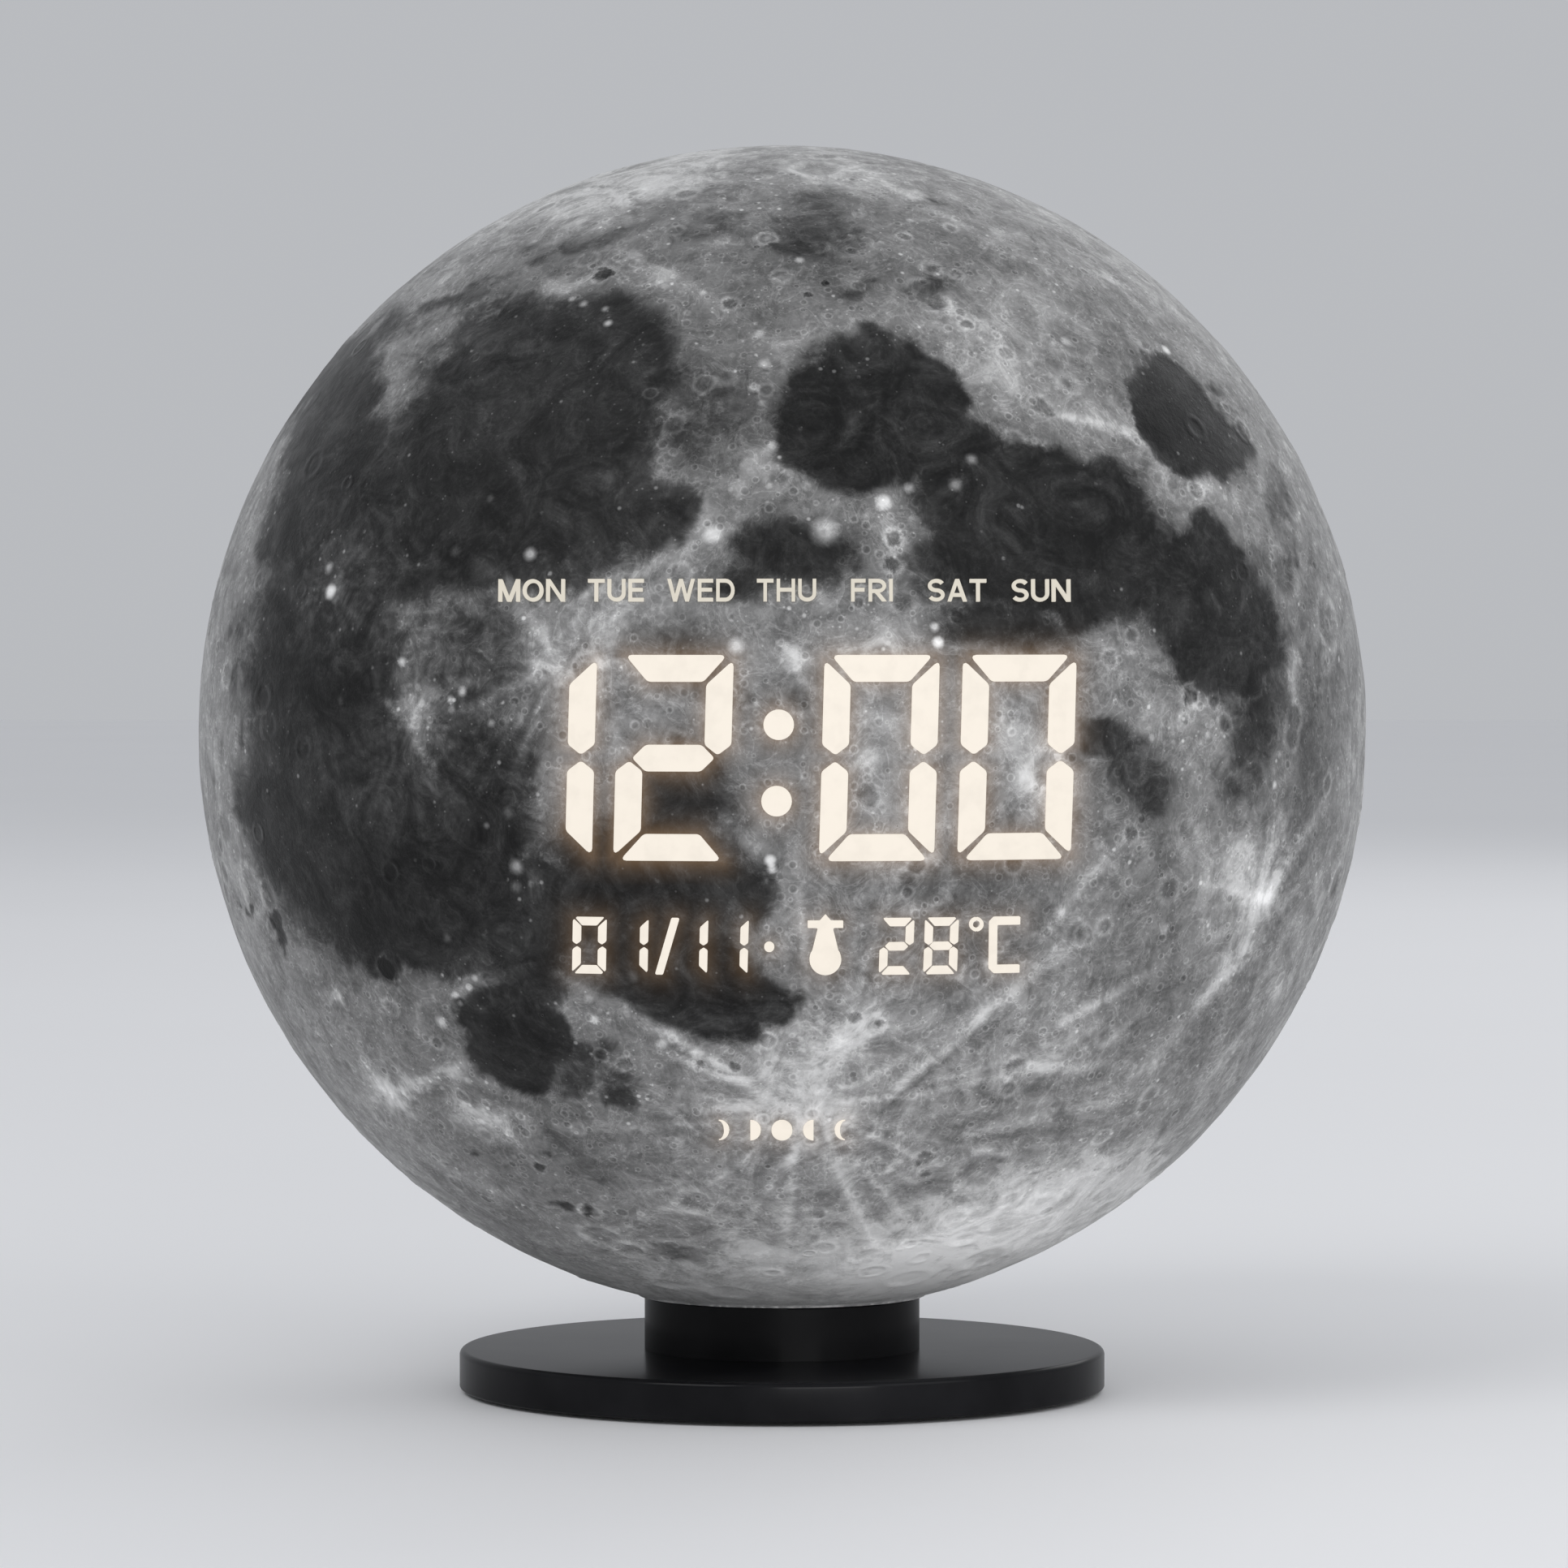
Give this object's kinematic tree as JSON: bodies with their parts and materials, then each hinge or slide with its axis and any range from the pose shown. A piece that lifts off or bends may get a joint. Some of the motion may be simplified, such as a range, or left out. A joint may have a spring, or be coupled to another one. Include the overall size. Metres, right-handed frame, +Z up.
{
  "type": "moon globe desk clock",
  "caption": "Hollow moon globe desk clock with a light-up time, date and temperature display, standing on a round collar and a thin round base.",
  "frame": {"origin": "on the table under the middle of the base", "axes": "+Z up, the display faces -Y, +X to the display's right as read"},
  "size_m": [0.15, 0.15, 0.16],
  "materials": {
    "moon_skin": "satin translucent plastic with a raised and printed moon surface",
    "base_black": "semi-gloss black with a fine bright chamfer",
    "collar_black": "satin black",
    "cover_black": "finely textured black",
    "button_black": "satin black",
    "inner_plastic": "matt moulded black",
    "plunger_white": "smooth moulded white",
    "steel": "zinc plated",
    "usb_shell": "nickel plated sheet",
    "usb_insulator": "moulded black",
    "soft_rubber": "soft matt rubber",
    "circuit_board": "green solder mask",
    "lamp_circuit": "white solder mask",
    "chip_black": "moulded chip resin",
    "chip_metal": "nickel plated",
    "sensor_bead": "dipped bead",
    "lamp_white": "clear lens over yellow phosphor",
    "light_guide": "milky light guide, lit warm white",
    "printed_film": "printed film",
    "cable_jacket": "soft cable jacket",
    "milky_dome": "milky diffuser"
  },
  "bodies": {
    "clock_body": {"base_cover": "cover_black", "base_disc": "base_black", "base_weight": "steel", "board_screws": "steel", "bracket_grub_screws": "steel", "button_switches": "inner_plastic", "cable_plugs": "inner_plastic", "cell_contacts": "chip_metal", "cell_wires": "cable_jacket", "clamp_gasket": "soft_rubber", "clamp_nut": "steel", "clamp_plate": "inner_plastic", "clock_chip": "chip_black", "clock_crystal": "chip_metal", "coin_cell": "chip_metal", "collar": "collar_black", "colon_guides": "light_guide", "control_board": "circuit_board", "cover_screws": "steel", "date_guides": "light_guide", "display_board": "circuit_board", "display_bracket": "steel", "display_cable": "cable_jacket", "display_leds": "lamp_white", "display_mask": "inner_plastic", "display_screws": "steel", "driver_chip": "chip_black", "foot_pads": "soft_rubber", "front_shell": "moon_skin", "hour_tens_guides": "light_guide", "hour_units_guides": "light_guide", "lamp_board": "lamp_circuit", "lamp_dome": "milky_dome", "lamp_leds": "lamp_white", "lamp_nuts": "steel", "lamp_wire": "cable_jacket", "minute_tens_guides": "light_guide", "minute_units_guides": "light_guide", "phase_guides": "light_guide", "rear_shell": "moon_skin", "seam_ring": "inner_plastic", "stem_foot_nut": "steel", "stem_foot_washer": "steel", "stem_tube": "steel", "temperature_guides": "light_guide", "temperature_sensor": "sensor_bead", "usb_socket": "usb_shell", "usb_tongue": "usb_insulator", "weekday_film": "printed_film", "weekday_guides": "light_guide"},
    "set_button": {"set_button": "button_black", "set_plunger": "plunger_white"},
    "down_button": {"down_button": "button_black", "down_plunger": "plunger_white"},
    "up_button": {"up_button": "button_black", "up_plunger": "plunger_white"},
    "light_button": {"light_button": "button_black", "light_plunger": "plunger_white"},
    "battery_door": {"battery_door": "cover_black"}
  },
  "joints": [
    {"name": "set_press", "type": "slide", "parent": "clock_body", "child": "set_button", "axis": [0.8827, -0.47, 0], "range_m": [0, 0.0005], "stiffness_N_per_m": 300, "springref_m": -0.002},
    {"name": "down_press", "type": "slide", "parent": "clock_body", "child": "down_button", "axis": [0.6084, -0.7936, 0], "range_m": [0, 0.0005], "stiffness_N_per_m": 300, "springref_m": -0.002},
    {"name": "up_press", "type": "slide", "parent": "clock_body", "child": "up_button", "axis": [-0.6084, -0.7936, 0], "range_m": [0, 0.0005], "stiffness_N_per_m": 300, "springref_m": -0.002},
    {"name": "light_press", "type": "slide", "parent": "clock_body", "child": "light_button", "axis": [-0.8827, -0.47, 0], "range_m": [0, 0.0005], "stiffness_N_per_m": 300, "springref_m": -0.002},
    {"name": "battery_door_turn", "type": "hinge", "parent": "clock_body", "child": "battery_door", "pos_m": [0, 0.0265, 0.0011], "axis": [0, 0, 1], "range_deg": [0, 60]}
  ]
}
